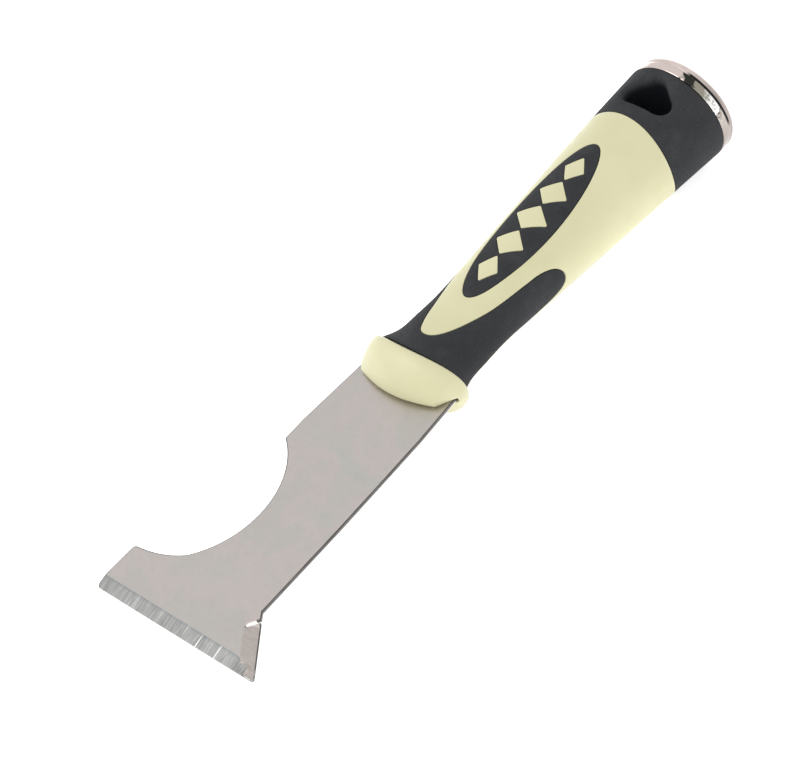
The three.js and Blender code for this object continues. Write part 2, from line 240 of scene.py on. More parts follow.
def tongue_seam():
    """The grip's edge, with angles scaled to arc lengths so that points space evenly."""
    scale = 12.0
    loop = [(turn * scale, station) for turn, station in full_turn(TONGUE_EDGE)]
    count = len(loop)
    # open the loop out so that the angle keeps rising past a full turn
    unrolled = [(x + 2 * math.pi * scale * lap, station)
                for lap in (-1, 0, 1) for x, station in loop]
    points = np.array(unrolled, float)
    fine = []
    for k in range(count, 2 * count):
        p0, p1, p2, p3 = points[k - 1:k + 3]
        for t in np.linspace(0, 1, 24, endpoint=False):
            fine.append(0.5 * (2 * p1 + (p2 - p0) * t + (2 * p0 - 5 * p1 + 4 * p2 - p3) * t ** 2
                               + (3 * p1 - p0 - 3 * p2 + p3) * t ** 3))
    path = np.array(fine)
    path = np.vstack([path, path[:1] + [2 * math.pi * scale, 0]])
    along = np.concatenate([[0], np.cumsum(np.linalg.norm(np.diff(path, axis=0), axis=1))])
    where = np.linspace(0, along[-1], COLUMNS, endpoint=False)
    angle = np.interp(where, along, path[:, 0]) / scale
    return np.stack([angle - TONGUE_SHIFT * np.cos(angle), np.interp(where, along, path[:, 1])], axis=1)


def window_seam():
    angle = 2 * math.pi * np.arange(COLUMNS) / COLUMNS
    rise = np.where(np.cos(angle) > 0, WINDOW_RISE["front"], WINDOW_RISE["back"])
    return np.stack([angle, WINDOW_SIDE + rise * np.cos(angle) ** 2], axis=1)


def butt_seam():
    angle = 2 * math.pi * np.arange(COLUMNS) / COLUMNS
    return np.stack([angle, np.full(COLUMNS, BUTT)], axis=1)


def moved(seam, distance):
    """A seam moved square to itself along the skin, towards the butt if positive."""
    ahead = np.roll(seam, -1, axis=0)
    behind = np.roll(seam, 1, axis=0)
    ahead[-1, 0] += 2 * math.pi
    behind[0, 0] -= 2 * math.pi
    radius = np.array([(half_width(s) + half_height(s)) / 2 for s in seam[:, 1]])
    run = (ahead[:, 0] - behind[:, 0]) * radius
    rise = ahead[:, 1] - behind[:, 1]
    length = np.hypot(run, rise)
    return np.stack([seam[:, 0] - distance * rise / length / radius,
                     seam[:, 1] + distance * run / length], axis=1)


def rolled_edge(radius, depth, steps=4):
    """(distance in from the edge, drop) from the flat top, round the roll, down the wall."""
    turns = [math.pi / 2 * k / steps for k in range(steps + 1)]
    roll = [(radius * (1 - math.sin(turn)), radius * (1 - math.cos(turn))) for turn in turns]
    return roll + [(0, depth)]


# ---- mesh building ----
class Shell:
    """A mesh grown from rings of points that all have the same count."""

    def __init__(self):
        self.bm = bmesh.new()
        self.last = None

    def ring(self, points):
        verts = [self.bm.verts.new(p) for p in points]
        if self.last is not None:
            self.bridge(self.last, verts)
        self.last = verts
        return verts

    def bridge(self, first, second):
        count = len(first)
        for k in range(count):
            self.bm.faces.new((first[k], first[(k + 1) % count],
                               second[(k + 1) % count], second[k]))

    def fan(self, point):
        centre = self.bm.verts.new(point)
        count = len(self.last)
        for k in range(count):
            self.bm.faces.new((self.last[k], self.last[(k + 1) % count], centre))

    def skin_ring(self, chart, inset=0.0):
        return self.ring([skin_point(station, angle, inset) for angle, station in chart])

    def edge_down(self, seam, toward):
        """Rolled edge from the skin down; toward is the way in from the seam. Returns its first ring."""
        rings = [self.skin_ring(moved(seam, toward * (distance + SEAM_GAP)), drop)
                 for distance, drop in rolled_edge(SEAM_ROLL, SEAM_DEPTH)]
        return rings[0]

    def edge_up(self, seam, toward):
        for distance, drop in reversed(rolled_edge(SEAM_ROLL, SEAM_DEPTH)):
            self.skin_ring(moved(seam, toward * (distance + SEAM_GAP)), drop)

    def band(self, front, rear, rows):
        """Rings between two seams, each moved in by the rolled edge, which this makes too."""
        self.edge_up(front, 1)
        start = moved(front, SEAM_ROLL + SEAM_GAP)
        end = moved(rear, -(SEAM_ROLL + SEAM_GAP))
        grid = [self.last]
        charts = [start]
        for row in range(1, rows):
            chart = start + (end - start) * row / rows
            grid.append(self.skin_ring(chart))
            charts.append(chart)
        grid.append(self.edge_down(rear, -1))
        charts.append(end)
        return grid, charts

    def open_block(self, grid, charts, rows, columns, side):
        """Cuts a block out of a band and returns its border as (vertex, station, y)."""
        middle = 0 if side > 0 else COLUMNS // 2
        left, right = middle - columns, middle + columns
        top, bottom = rows
        block = []
        for row in range(top, bottom):
            for column in range(left, right):
                corners = [grid[row][column % COLUMNS], grid[row][(column + 1) % COLUMNS],
                           grid[row + 1][(column + 1) % COLUMNS], grid[row + 1][column % COLUMNS]]
                block.append(self.bm.faces.get(corners))
        bmesh.ops.delete(self.bm, geom=block, context="FACES_ONLY")
        border = [(top, column) for column in range(left, right)]
        border += [(row, right) for row in range(top, bottom)]
        border += [(bottom, column) for column in range(right, left, -1)]
        border += [(row, left) for row in range(bottom, top, -1)]
        loop = []
        for row, column in border:
            angle, station = charts[row][column % COLUMNS]
            y = swing(station) + half_width(station) * math.sin(angle)
            loop.append((grid[row][column % COLUMNS], station, y))
        return loop

    def finish(self, name, materials, node, smooth_angle=None):
        loose = [v for v in self.bm.verts if not v.link_faces]
        bmesh.ops.delete(self.bm, geom=loose, context="VERTS")
        bmesh.ops.recalc_face_normals(self.bm, faces=self.bm.faces)
        return add_piece(self.bm, name, materials, node, smooth_angle)


def add_piece(bm, name, materials, node, smooth_angle=None):
    mesh = bpy.data.meshes.new(name)
    bm.to_mesh(mesh)
    bm.free()
    for material in materials:
        mesh.materials.append(material)
    mesh.polygons.foreach_set("use_smooth", [True] * len(mesh.polygons))
    if smooth_angle is not None:
        mesh.set_sharp_from_angle(angle=math.radians(smooth_angle))
    piece = bpy.data.objects.new(name, mesh)
    bpy.context.scene.collection.objects.link(piece)
    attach(piece, "root")
    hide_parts(node)
    return piece


# ---- outlines on a face, as functions of a margin ----
def rounded_outline(centres, radius, per_corner):
    """Counterclockwise outline with an equal round at each corner."""
    points = []
    count = len(centres)
    for k, centre in enumerate(centres):
        before, after = centres[k - 1], centres[(k + 1) % count]
        start = math.atan2(centre[1] - before[1], centre[0] - before[0]) - math.pi / 2
        end = math.atan2(after[1] - centre[1], after[0] - centre[0]) - math.pi / 2
        sweep = (end - start) % (2 * math.pi)
        for step in range(per_corner + 1):
            turn = start + sweep * step / per_corner
            points.append((centre[0] + radius * math.cos(turn), centre[1] + radius * math.sin(turn)))
    return points


def hole_outline(margin, per_corner=24):
    corner = HOLE_CORNER
    reach = HOLE_HALF_WIDTH - corner
    centres = [(HOLE_TIP - corner, HOLE_Y), (HOLE_BASE + corner, HOLE_Y + reach),
               (HOLE_BASE + corner, HOLE_Y - reach)]
    return spaced(rounded_outline(centres, corner + margin, per_corner), 0.2)


def window_centre(number):
    middle = (len(LOZENGE_HALF_WIDTHS) - 1) / 2
    return INLAY_CENTRE + (number - middle) * LOZENGE_PITCH, INLAY_Y


def lozenge_outline(number, margin, per_corner=4):
    x, y = window_centre(number)
    reach = LOZENGE_PITCH / 2 - LOZENGE_GAP
    wide = LOZENGE_HALF_WIDTHS[number]
    centres = [(x + reach, y), (x, y + wide), (x - reach, y), (x, y - wide)]
    return rounded_outline(centres, LOZENGE_CORNER + margin, per_corner)


def ray_points(outline, centre, angles):
    """Where rays from the centre meet an outline that goes once round it."""
    points = np.array(outline) - centre
    turn = np.unwrap(np.arctan2(points[:, 1], points[:, 0]))
    reach = np.hypot(points[:, 0], points[:, 1])
    order = np.argsort(turn)
    found = np.interp(angles, turn[order], reach[order], period=2 * math.pi)
    return [(centre[0] + r * math.cos(a), centre[1] + r * math.sin(a))
            for a, r in zip(angles, found)]


def spaced(outline, pitch):
    """The closed outline with points added so that no step is longer than the pitch."""
    points = []
    for k, start in enumerate(outline):
        end = outline[(k + 1) % len(outline)]
        length = math.dist(start, end)
        if length < 1e-6:
            continue
        steps = max(1, math.ceil(length / pitch))
        for step in range(steps):
            share = step / steps
            points.append((start[0] + (end[0] - start[0]) * share, start[1] + (end[1] - start[1]) * share))
    return points


def inside(point, outline):
    """True if the point is inside the closed outline."""
    x, y = point
    odd = False
    for k, (x1, y1) in enumerate(outline):
        x2, y2 = outline[k - 1]
        if (y1 > y) != (y2 > y) and x < (x2 - x1) * (y - y1) / (y2 - y1) + x1:
            odd = not odd
    return odd


def filled(outlines, lines, extra):
    """Triangles over the region inside the first outline and outside the others."""
    points, edges = [], []
    for outline in outlines:
        first = len(points)
        points += [Vector(p) for p in outline]
        edges += [(first + k, first + (k + 1) % len(outline)) for k in range(len(outline))]
    for line in lines:
        first = len(points)
        points += [Vector(p) for p in line]
        edges += [(first + k, first + k + 1) for k in range(len(line) - 1)]
    points += [Vector(p) for p in extra]
    verts, _, faces, sources, _, _ = delaunay_2d_cdt(points, edges, [], 0, 1e-5)
    kept = []
    for face in faces:
        x = sum(verts[k].x for k in face) / 3
        y = sum(verts[k].y for k in face) / 3
        if inside((x, y), outlines[0]) and not any(inside((x, y), hole) for hole in outlines[1:]):
            kept.append(face)
    places = {}
    for k, origin in enumerate(sources):
        for number in origin:
            places[number] = k
    return verts, kept, places


# ---- material helpers ----
class Nodes:
    """Short names for building one material's node tree."""

    def __init__(self, name):
        self.material = bpy.data.materials.new(name)
        self.material.use_nodes = True
        self.tree = self.material.node_tree
        self.shader = self.tree.nodes["Principled BSDF"]
        self.position = self.add("ShaderNodeTexCoord").outputs["Object"]

    def add(self, kind, **values):
        node = self.tree.nodes.new(kind)
        for key, value in values.items():
            setattr(node, key, value)
        return node

    def link(self, source, target):
        self.tree.links.new(source, target)

    def set(self, **values):
        for key, value in values.items():
            self.shader.inputs[key.replace("_", " ")].default_value = value

    def mapped(self, scale, turn=(0, 0, 0)):
        node = self.add("ShaderNodeMapping")
        node.inputs["Scale"].default_value = scale
        node.inputs["Rotation"].default_value = turn
        self.link(self.position, node.inputs["Vector"])
        return node.outputs["Vector"]

    def axis(self, name):
        node = self.add("ShaderNodeSeparateXYZ")
        self.link(self.position, node.inputs["Vector"])
        return node.outputs[name]

    def combine(self, operation, first, second):
        node = self.add("ShaderNodeMath", operation=operation)
        for value, target in zip((first, second), node.inputs):
            if isinstance(value, float):
                target.default_value = value
            else:
                self.link(value, target)
        return node.outputs["Value"]

    def around(self, ragged, slant):
        """Share of a turn round the cap, 0.5 at the front; its borders wander by ragged and lean by slant."""
        centre_y = axis_y + BUTT_OFFSET * MM
        y = self.combine("SUBTRACT", self.axis("Y"), centre_y)
        z = self.combine("SUBTRACT", self.axis("Z"), axis_z)
        share = self.span(self.combine("ARCTAN2", y, z), -math.pi, math.pi, 0.0, 1.0)
        back = self.combine("SUBTRACT", front_x - BUTT * MM, self.axis("X"))
        leaning = self.combine("ADD", share, self.combine("MULTIPLY", back, slant))
        wander = self.combine("MULTIPLY", self.combine("SUBTRACT", self.noise(600, 2), 0.5), ragged)
        return self.combine("ADD", leaning, wander)

    def noise(self, scale, detail=2.0, roughness=0.5, vector=None, distortion=0.0):
        node = self.add("ShaderNodeTexNoise")
        node.inputs["Scale"].default_value = scale
        node.inputs["Detail"].default_value = detail
        node.inputs["Roughness"].default_value = roughness
        node.inputs["Distortion"].default_value = distortion
        self.link(vector or self.position, node.inputs["Vector"])
        return node.outputs["Fac"]

    def cells(self, scale):
        node = self.add("ShaderNodeTexVoronoi", feature="SMOOTH_F1")
        node.inputs["Scale"].default_value = scale
        node.inputs["Smoothness"].default_value = 0.4
        self.link(self.position, node.inputs["Vector"])
        return node.outputs["Distance"]

    def ramp(self, fac, stops):
        node = self.add("ShaderNodeValToRGB")
        elements = node.color_ramp.elements
        while len(elements) < len(stops):
            elements.new(0.5)
        for element, (position, colour) in zip(elements, stops):
            element.position = position
            element.color = (*colour, 1)
        self.link(fac, node.inputs["Fac"])
        return node.outputs["Color"]

    def span(self, fac, low, high, to_low, to_high):
        node = self.add("ShaderNodeMapRange")
        for key, value in zip(("From Min", "From Max", "To Min", "To Max"),
                              (low, high, to_low, to_high)):
            node.inputs[key].default_value = value
        self.link(fac, node.inputs["Value"])
        return node.outputs["Result"]

    def mix(self, fac, first, second):
        node = self.add("ShaderNodeMix", data_type="RGBA")
        self.link(fac, node.inputs["Factor"])
        for value, target in ((first, node.inputs[6]), (second, node.inputs[7])):
            if isinstance(value, tuple):
                target.default_value = (*value, 1)
            else:
                self.link(value, target)
        return node.outputs[2]

    def bump(self, height, strength, distance, normal=None):
        node = self.add("ShaderNodeBump")
        node.inputs["Strength"].default_value = strength
        node.inputs["Distance"].default_value = distance
        self.link(height, node.inputs["Height"])
        if normal is not None:
            self.link(normal, node.inputs["Normal"])
        return node.outputs["Normal"]

    def colour(self, source):
        self.link(source, self.shader.inputs["Base Color"])

    def roughness(self, source):
        self.link(source, self.shader.inputs["Roughness"])

    def normal(self, source):
        self.link(source, self.shader.inputs["Normal"])


def cream_plastic():
    m = Nodes("cream_plastic")
    clouds = m.noise(42, 4, 0.6)
    colour = m.ramp(clouds, [(0.3, (0.575, 0.555, 0.34)), (0.7, (0.625, 0.605, 0.39))])
    m.colour(colour)
    m.roughness(m.span(m.noise(500, 3), 0.3, 0.7, 0.36, 0.48))
    m.set(Specular_IOR_Level=0.4)
    fine = m.bump(m.noise(2200, 2), 0.12, 0.00006)
    m.normal(m.bump(m.noise(70, 2), 0.25, 0.0003, fine))
    return m.material


def soft_grip(name, hole_shade=False):
    """Pebbled soft grip; if asked, painted shade darkens it deep inside the hang hole."""
    m = Nodes(name)
    pebbles = m.cells(2100)
    clouds = m.noise(75, 4, 0.6)
    base = m.ramp(clouds, [(0.3, (0.028, 0.029, 0.032)), (0.7, (0.038, 0.039, 0.042))])
    dust = m.span(m.noise(130, 3, 0.6, distortion=0.5), 0.52, 0.75, 0.0, 0.45)
    dusty = m.mix(dust, base, (0.055, 0.058, 0.062))
    specks = m.span(m.noise(2600, 1, 0.4), 0.66, 0.78, 0.0, 0.4)
    speckled = m.mix(specks, dusty, (0.11, 0.11, 0.12))
    if hole_shade:
        y = m.combine("SUBTRACT", m.axis("Y"), axis_y)
        z = m.combine("SUBTRACT", m.axis("Z"), axis_z)
        squares = m.combine("ADD", m.combine("MULTIPLY", y, y), m.combine("MULTIPLY", z, z))
        reach = m.combine("POWER", squares, 0.5)
        # painted shade: the colour goes near-black deep inside the hang hole, by distance from the handle's
        # axis
        speckled = m.mix(m.span(reach, 14.1 * MM, 12.2 * MM, 0.0, 0.85), speckled, (0.004, 0.005, 0.008))
    m.colour(speckled)
    m.roughness(m.span(pebbles, 0.1, 0.6, 0.6, 0.78))
    m.set(Specular_IOR_Level=0.12)
    m.normal(m.bump(pebbles, 0.55, 0.00013))
    return m.material


def blade_face():
    m = Nodes("blade_face")
    grain = m.noise(1100, 3, 0.6, m.mapped((1, 0.05, 1)))
    clouds = m.noise(38, 5, 0.65, distortion=0.8)
    tint = m.ramp(clouds, [(0.3, (0.53, 0.48, 0.46)), (0.45, (0.505, 0.485, 0.455)),
                           (0.55, (0.55, 0.495, 0.475)), (0.7, (0.495, 0.49, 0.46))])
    flecks = m.span(m.noise(700, 4, 0.7), 0.35, 0.7, 0.0, 0.25)
    m.colour(m.mix(flecks, tint, (0.62, 0.59, 0.56)))
    m.roughness(m.span(grain, 0.3, 0.7, 0.30, 0.40))
    m.set(Metallic=1.0)
    m.normal(m.bump(grain, 0.08, 0.00004))
    return m.material


def ground_bevel():
    m = Nodes("ground_bevel")
    along = m.mapped((0.02, 1, 0.02), (0, 0, math.radians(-3)))
    strokes = m.noise(4600, 3, 0.85, along)
    deep = m.noise(1900, 2, 0.6, along)
    broad = m.noise(120, 4, 0.65, m.mapped((0.3, 1, 0.3)))
    tone = m.ramp(strokes, [(0.36, (0.10, 0.10, 0.10)), (0.46, (0.27, 0.27, 0.265)),
                            (0.56, (0.34, 0.34, 0.33)), (0.66, (0.62, 0.62, 0.61))])
    shaded = m.mix(m.span(broad, 0.35, 0.65, 0.0, 0.65), tone, (0.30, 0.30, 0.29))
    scored = m.mix(m.span(deep, 0.66, 0.72, 0.0, 0.8), shaded, (0.98, 0.98, 0.96))
    inner_line = m.span(m.axis("X"), front_x - 2.9 * MM, front_x - BEVEL_WIDTH * MM, 0.0, 0.6)
    m.colour(m.mix(inner_line, scored, (0.20, 0.22, 0.235)))
    m.roughness(m.span(strokes, 0.3, 0.7, 0.28, 0.42))
    m.set(Metallic=1.0)
    m.normal(m.bump(strokes, 0.3, 0.00003))
    return m.material


def ground_flank():
    m = Nodes("ground_flank")
    strokes = m.noise(1500, 3, 0.6, m.mapped((1, 0.12, 1), (0, 0, math.radians(-38))))
    tone = m.ramp(strokes, [(0.3, (0.43, 0.385, 0.36)), (0.7, (0.53, 0.48, 0.45))])
    m.colour(tone)
    m.roughness(m.span(strokes, 0.3, 0.7, 0.3, 0.42))
    m.set(Metallic=1.0)
    m.normal(m.bump(strokes, 0.15, 0.00005))
    return m.material


def cut_edge():
    """Sheared edge of the sheet: dark, with a bright line low down."""
    m = Nodes("cut_edge")
    strokes = m.noise(1400, 3, 0.6, m.mapped((0.1, 0.1, 1)))
    dark = m.ramp(strokes, [(0.3, (0.07, 0.068, 0.066)), (0.7, (0.15, 0.145, 0.14))])
    low = blade_low.z / MM
    line = m.span(m.axis("Z"), (low + 0.5) * MM, (low + 0.3) * MM, 0.0, 0.9)
    m.colour(m.mix(line, dark, (0.62, 0.60, 0.58)))
    m.roughness(m.span(strokes, 0.3, 0.7, 0.3, 0.45))
    m.set(Metallic=1.0)
    m.normal(m.bump(strokes, 0.2, 0.00005))
    return m.material


# Painted light: a near-white colour on the nail slot's walls stands in for the light seen through the slot.
def slot_wall_painted_bright():
    m = Nodes("slot_wall_painted_bright")
    m.colour(m.ramp(m.noise(1400, 2), [(0.3, (0.9, 0.9, 0.89)), (0.7, (0.98, 0.98, 0.97))]))
    m.set(Metallic=1.0, Roughness=0.3)
    return m.material


def mirror_band():
    """Plating with painted reflections round the band: from satin to a painted dark reflection, a painted tan
    reflection, a painted bright reflection with pits, and a painted shaded side.
    """
    m = Nodes("mirror_band")
    share = m.around(0.06, 3.6)
    satin = (0.70, 0.60, 0.56)
    painted_dark_reflection = (0.035, 0.035, 0.03)
    tan = (0.33, 0.31, 0.25)
    bright = (1.0, 0.99, 0.97)
    shade = (0.33, 0.29, 0.27)
    # painted reflections and painted shade in the band's colour: dark and tan bands, a bright patch edged by
    # thin dark lines, and a shaded side
    colours = [(0.0, satin), (0.555, satin), (0.563, painted_dark_reflection), (0.590, painted_dark_reflection), (0.600, tan), (0.640, tan),
               (0.652, bright), (0.696, bright), (0.703, (0.10, 0.08, 0.07)), (0.714, (0.40, 0.37, 0.34)),
               (0.76, shade), (0.86, shade), (0.95, satin), (1.0, satin)]
    plating_with_painted_reflections = m.ramp(share, colours)
    pits = m.span(m.noise(1500, 3, 0.6), 0.54, 0.62, 0.0, 0.85)
    pitted = m.ramp(share, [(0.640, (0, 0, 0)), (0.654, (1, 1, 1)), (0.694, (1, 1, 1)), (0.704, (0, 0, 0))])
    spots = m.mix(pitted, (0, 0, 0), pits)
    m.colour(m.mix(spots, plating_with_painted_reflections, (0.16, 0.13, 0.12)))
    m.roughness(m.span(m.noise(900, 3), 0.3, 0.7, 0.12, 0.22))
    m.set(Metallic=1.0)
    m.normal(m.bump(m.noise(260, 2), 0.08, 0.00015))
    return m.material


def satin_shoulder():
    """Satin plating with a shaded side that fades out before the dome."""
    m = Nodes("satin_shoulder")
    haze = m.noise(420, 4, 0.6)
    pale = m.ramp(haze, [(0.3, (0.66, 0.57, 0.53)), (0.7, (0.76, 0.67, 0.63))])
    shade = m.ramp(m.around(0.0, 0.0), [(0.55, (0, 0, 0)), (0.68, (0.9, 0.9, 0.9)),
                                        (0.84, (0.9, 0.9, 0.9)), (0.96, (0, 0, 0))])
    dome_x = front_x - SHADE_END * MM
    shaded = m.mix(shade, pale, (0.27, 0.235, 0.215))
    m.colour(m.mix(m.span(m.axis("X"), dome_x, dome_x + SHADE_FADE * MM, 0.0, 1.0), pale, shaded))
    m.roughness(m.span(haze, 0.3, 0.7, 0.28, 0.38))
    m.set(Metallic=1.0)
    m.normal(m.bump(m.noise(1500, 3), 0.1, 0.00005))
    return m.material


def cap_groove():
    """The line between band and shoulder, with a painted dark reflection where the band is polished."""
    m = Nodes("cap_groove")
    share = m.around(0.0, 2.0)
    satin = (0.66, 0.57, 0.53)
    m.colour(m.ramp(share, [(0.0, satin), (0.56, satin), (0.575, (0.02, 0.02, 0.02)),
                            (0.745, (0.02, 0.02, 0.02)), (0.765, (0.4, 0.35, 0.33))]))
    m.set(Metallic=1.0, Roughness=0.3)
    m.normal(m.bump(m.noise(1500, 3), 0.1, 0.00005))
    return m.material


cream = cream_plastic()
charcoal = soft_grip("soft_grip")
hole_shaded_charcoal = soft_grip("soft_grip_painted_hole_shade", True)


# ---- the blade ----
def blade_outline():
    """Closed outline of the blade and tang as (station, y)."""
    roller_x = {side: ROLLER_CENTRE[0] + side * math.sqrt(ROLLER_RADIUS ** 2 - (y - ROLLER_CENTRE[1]) ** 2)
                for side, y in ((1, SHOULDER_Y), (-1, ROLLER_END_Y))}

    def turn(x, y):
        return math.atan2(y - ROLLER_CENTRE[1], x - ROLLER_CENTRE[0])

    points = curve((0, 31.4), (0, 33.4), POINT_TIP, 6)
    points += [SLOT_MOUTH[0]]
    points += curve((11.7, 19.6), SLOT_TIP, (12.2, 19.1), 4)
    points += [SLOT_MOUTH[1], FLARE_START, (48, 18.9), (80, 17.5), (SHANK_END, 16.1)]
    points += [(101, TANG_HALF_WIDTH), (TANG_END, TANG_HALF_WIDTH), (TANG_END, -TANG_HALF_WIDTH),
               (101, -TANG_HALF_WIDTH)]
    points += [(SHANK_END, -15.6), (70, -16.5)]
    points += arc(ROLLER_CENTRE, ROLLER_RADIUS, turn(roller_x[1], SHOULDER_Y),
                  turn(roller_x[-1], ROLLER_END_Y), 64)
    points += curve((roller_x[-1], ROLLER_END_Y), (15.8, -17.0), (14.9, HEAD_CORNER + 1.0), 10)[1:]
    points += curve((14.9, HEAD_CORNER + 1.0), (14.8, HEAD_CORNER), (13.6, HEAD_CORNER), 6)[1:]
    points += curve((1.6, HEAD_CORNER), (0.2, HEAD_CORNER), (0, HEAD_CORNER + 1.2), 8)
    return points


def offset(outline, distance):
    """The closed outline moved by a distance to the right of its direction."""
    points = np.array(outline)
    ahead = np.roll(points, -1, axis=0) - points
    behind = points - np.roll(points, 1, axis=0)
    normals = []
    for step in (behind, ahead):
        length = np.linalg.norm(step, axis=1, keepdims=True)
        normals.append(np.stack([step[:, 1], -step[:, 0]], axis=1) / length)
    total = normals[0] + normals[1]
    scale = np.maximum((total * normals[0]).sum(axis=1, keepdims=True), 0.5)
    return points + total / scale * distance


def bevel_width(y):
    """The bevel's inner line curves down to the point."""
    share = min(max((y - BEVEL_TURN[0]) / (BEVEL_TURN[1] - BEVEL_TURN[0]), 0), 1)
    return BEVEL_WIDTH * (1 - BEVEL_NARROWING * share ** 2)


def facet_heights(station, y):
    """Drop of the bevel, the flank and the flat face below the front face."""
    along = np.array(POINT_TIP) - np.array(FLARE_START)
    along /= np.linalg.norm(along)
    across = np.array([along[1], -along[0]])
    across *= math.copysign(1, across @ (np.array(SLOT_MOUTH[0]) - np.array(SLOT_TIP)))
    out = (np.array([station, y]) - np.array(SLOT_TIP)) @ across
    forward = (np.array([station, y]) - np.array(SLOT_TIP)) @ along
    bevel = (bevel_width(y) - station) * BEVEL_DROP / BEVEL_WIDTH
    flank = out * FLANK_DROP / FLANK_WIDTH if forward > 0 else -1.0
    return bevel, flank


def make_blade():
    outline = spaced(blade_outline(), 1.2)
    area = sum(a[0] * b[1] - b[0] * a[1] for a, b in zip(outline, outline[1:] + outline[:1]))
    if area < 0:
        outline.reverse()
    inner = [tuple(p) for p in offset(outline, -CHAMFER)]
    bevel_line = [(bevel_width(y), y) for y in np.linspace(HEAD_CORNER - 1, 40, 90)]
    along = Vector((POINT_TIP[0] - FLARE_START[0], POINT_TIP[1] - FLARE_START[1])).normalized()
    tip = Vector(SLOT_TIP)
    flank_line = [tuple(tip + along * d) for d in np.linspace(0, 30, 30)]
    inside_bevel = [p for p in bevel_line if inside(p, inner)]
    inside_flank = [p for p in flank_line if inside(p, inner)]
    verts, faces, places = filled([inner], [inside_bevel, inside_flank], [])
    half = BLADE_THICKNESS / 2
    bm = bmesh.new()

    def top(station, y):
        return half - max(0.0, *facet_heights(station, y))

    front = [bm.verts.new(place(v.x, v.y, top(v.x, v.y))) for v in verts]
    back = [bm.verts.new(place(v.x, v.y, -half)) for v in verts]
    for face in faces:
        x = sum(verts[k].x for k in face) / 3
        y = sum(verts[k].y for k in face) / 3
        bevel, flank = facet_heights(x, y)
        made = bm.faces.new([front[k] for k in face])
        made.material_index = 1 if bevel > max(flank, 0) else 2 if flank > 0 else 0
        bm.faces.new([back[k] for k in reversed(face)])
    slot_start = SLOT_TIP[0] + 0.4
    slot_end = SLOT_MOUTH[1][0] - 0.2
    slot_low = SLOT_TIP[1] - 0.1
    count = len(outline)
    rim_top = [bm.verts.new(place(x, y, top(x, y) - CHAMFER_DROP)) for x, y in outline]
    rim_low = [bm.verts.new(place(x, y, CHAMFER_DROP - half)) for x, y in outline]
    for k in range(count):
        n = (k + 1) % count
        chain = [front[places[k]], rim_top[k], rim_low[k], back[places[k]]]
        following = [front[places[n]], rim_top[n], rim_low[n], back[places[n]]]
        x, y = outline[k]
        in_slot = slot_start <= x < slot_end and slot_low <= y <= SLOT_MOUTH[1][1]
        # in the nail slot the wall gets slot 4, a painted bright colour standing in for the light seen
        # through the slot
        slots = (1 if x < BEVEL_WIDTH else 0 if in_slot else 3, 4 if in_slot else 3, 3)
        for level in range(3):
            quad = [chain[level], following[level], following[level + 1], chain[level + 1]]
            bm.faces.new(quad).material_index = slots[level]
    bmesh.ops.recalc_face_normals(bm, faces=bm.faces)
    materials = [blade_face(), ground_bevel(), ground_flank(), cut_edge(), slot_wall_painted_bright()]
    return add_piece(bm, "blade_steel", materials, "blade", 4)


# ---- the handle core ----
def lip_contact(angle):
    """Where the collar meets the blade's front face, as (station, y, z)."""
    turn = math.degrees(math.asin(min(1, abs(math.sin(angle)))))
    sign = math.copysign(1, math.sin(angle))
    lip_end, slot_start = 62.0, 82.0
    above = BLADE_THICKNESS / 2 + 0.03
    nose = COLLAR_NOSE + (BACK_SETBACK if math.cos(angle) < 0 else 0)
    if turn <= lip_end:
        y = COLLAR_CORNER * turn / lip_end
        return nose + COLLAR_ARC - math.sqrt(COLLAR_ARC ** 2 - y * y), sign * y, above
    corner = nose + COLLAR_ARC - math.sqrt(COLLAR_ARC ** 2 - COLLAR_CORNER ** 2)
    if turn <= slot_start:
        share = (turn - lip_end) / (slot_start - lip_end)
        return (corner + (COLLAR_SLOT[0] - corner) * share,
                sign * (COLLAR_CORNER + (COLLAR_SLOT[1] - COLLAR_CORNER) * share), above)
    share = (turn - slot_start) / (90 - slot_start)
    return (COLLAR_SLOT[0] + 0.5 * math.sin(share * math.pi / 2),
            sign * (COLLAR_SLOT[1] + 0.35 * math.sin(share * math.pi / 2)),
            above * math.cos(share * math.pi / 2))


